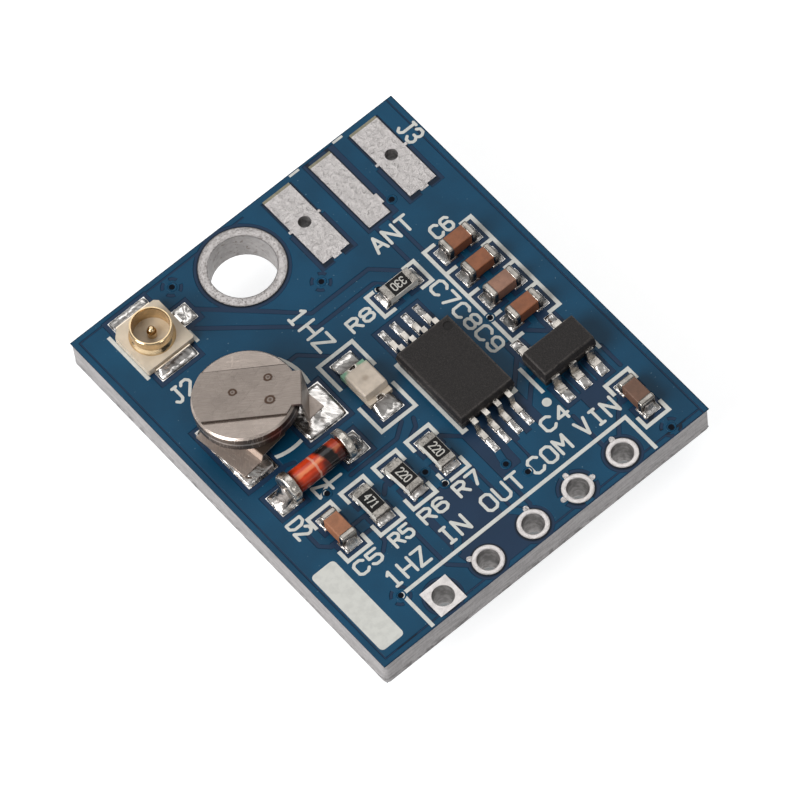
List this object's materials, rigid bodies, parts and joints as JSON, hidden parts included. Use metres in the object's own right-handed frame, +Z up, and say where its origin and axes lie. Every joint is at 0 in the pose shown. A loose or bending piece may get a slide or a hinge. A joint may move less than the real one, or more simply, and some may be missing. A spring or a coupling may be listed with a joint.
{
  "type": "gps module",
  "caption": "Small blue circuit board with a satellite receiver in a can below, and memory, regulator, backup cell, lamp, coaxial socket and header holes on top.",
  "frame": {"origin": "below the centre of the board's outline, on the flat face of the receiver's can", "axes": "+Z up out of the populated face, +Y from the header edge to the antenna edge, +X along the header from the square pad"},
  "size_m": [0.0184, 0.0212, 0.0067],
  "materials": {
    "board_blue": "satin blue solder mask on glass-fibre laminate",
    "tin": "tinned copper, slightly grainy",
    "ink_white": "printed white ink",
    "socket_cream": "moulded cream resin",
    "gold": "gold-plated brass",
    "cell_steel": "drawn and brushed steel",
    "tab_steel": "stamped and brushed steel strip",
    "diode_red": "orange-red glass with a black band",
    "terminal_metal": "matt tin plating",
    "lamp_white": "pale laminate",
    "lamp_resin": "milky clear resin",
    "mould_black": "moulded black epoxy",
    "ceramic_white": "white alumina",
    "coat_black": "black glaze",
    "capacitor_brown": "brown fired ceramic",
    "capacitor_tan": "tan fired ceramic",
    "capacitor_dark": "dark brown fired ceramic",
    "capacitor_pale": "pale brown fired ceramic",
    "carrier_green": "green solder mask",
    "can_metal": "tinned nickel silver sheet",
    "solder": "bright solder"
  },
  "bodies": {
    "root": {"circuit_board": "board_blue", "mounting_hole_rings": "tin", "header_hole_rings": "tin", "edge_pads": "tin", "component_pads": "tin", "receiver_pads": "tin", "outline_print": "ink_white", "coax_housing": "socket_cream", "coax_shell": "gold", "coax_contact": "gold", "backup_cell": "cell_steel", "cell_top_tab": "tab_steel", "cell_bottom_tab": "tab_steel", "diode_glass": "diode_red", "diode_caps": "terminal_metal", "lamp_base": "lamp_white", "lamp_lens": "lamp_resin", "lamp_terminals": "terminal_metal", "memory_body": "mould_black", "memory_leads": "terminal_metal", "regulator_body": "mould_black", "regulator_leads": "terminal_metal", "receiver_carrier": "carrier_green", "receiver_can": "can_metal", "receiver_chip": "mould_black", "receiver_oscillator": "can_metal", "receiver_filter": "can_metal", "solder_joints": "solder", "receiver_solder": "solder", "resistor_1_core": "ceramic_white", "resistor_1_coat": "coat_black", "resistor_1_ends": "terminal_metal", "resistor_2_core": "ceramic_white", "resistor_2_coat": "coat_black", "resistor_2_ends": "terminal_metal", "resistor_3_core": "ceramic_white", "resistor_3_coat": "coat_black", "resistor_3_ends": "terminal_metal", "resistor_4_core": "ceramic_white", "resistor_4_coat": "coat_black", "resistor_4_ends": "terminal_metal", "capacitor_1_body": "capacitor_brown", "capacitor_1_ends": "terminal_metal", "capacitor_2_body": "capacitor_brown", "capacitor_2_ends": "terminal_metal", "capacitor_3_body": "capacitor_pale", "capacitor_3_ends": "terminal_metal", "capacitor_4_body": "capacitor_brown", "capacitor_4_ends": "terminal_metal", "capacitor_5_body": "capacitor_tan", "capacitor_5_ends": "terminal_metal", "capacitor_6_body": "capacitor_dark", "capacitor_6_ends": "terminal_metal"}
  },
  "joints": []
}
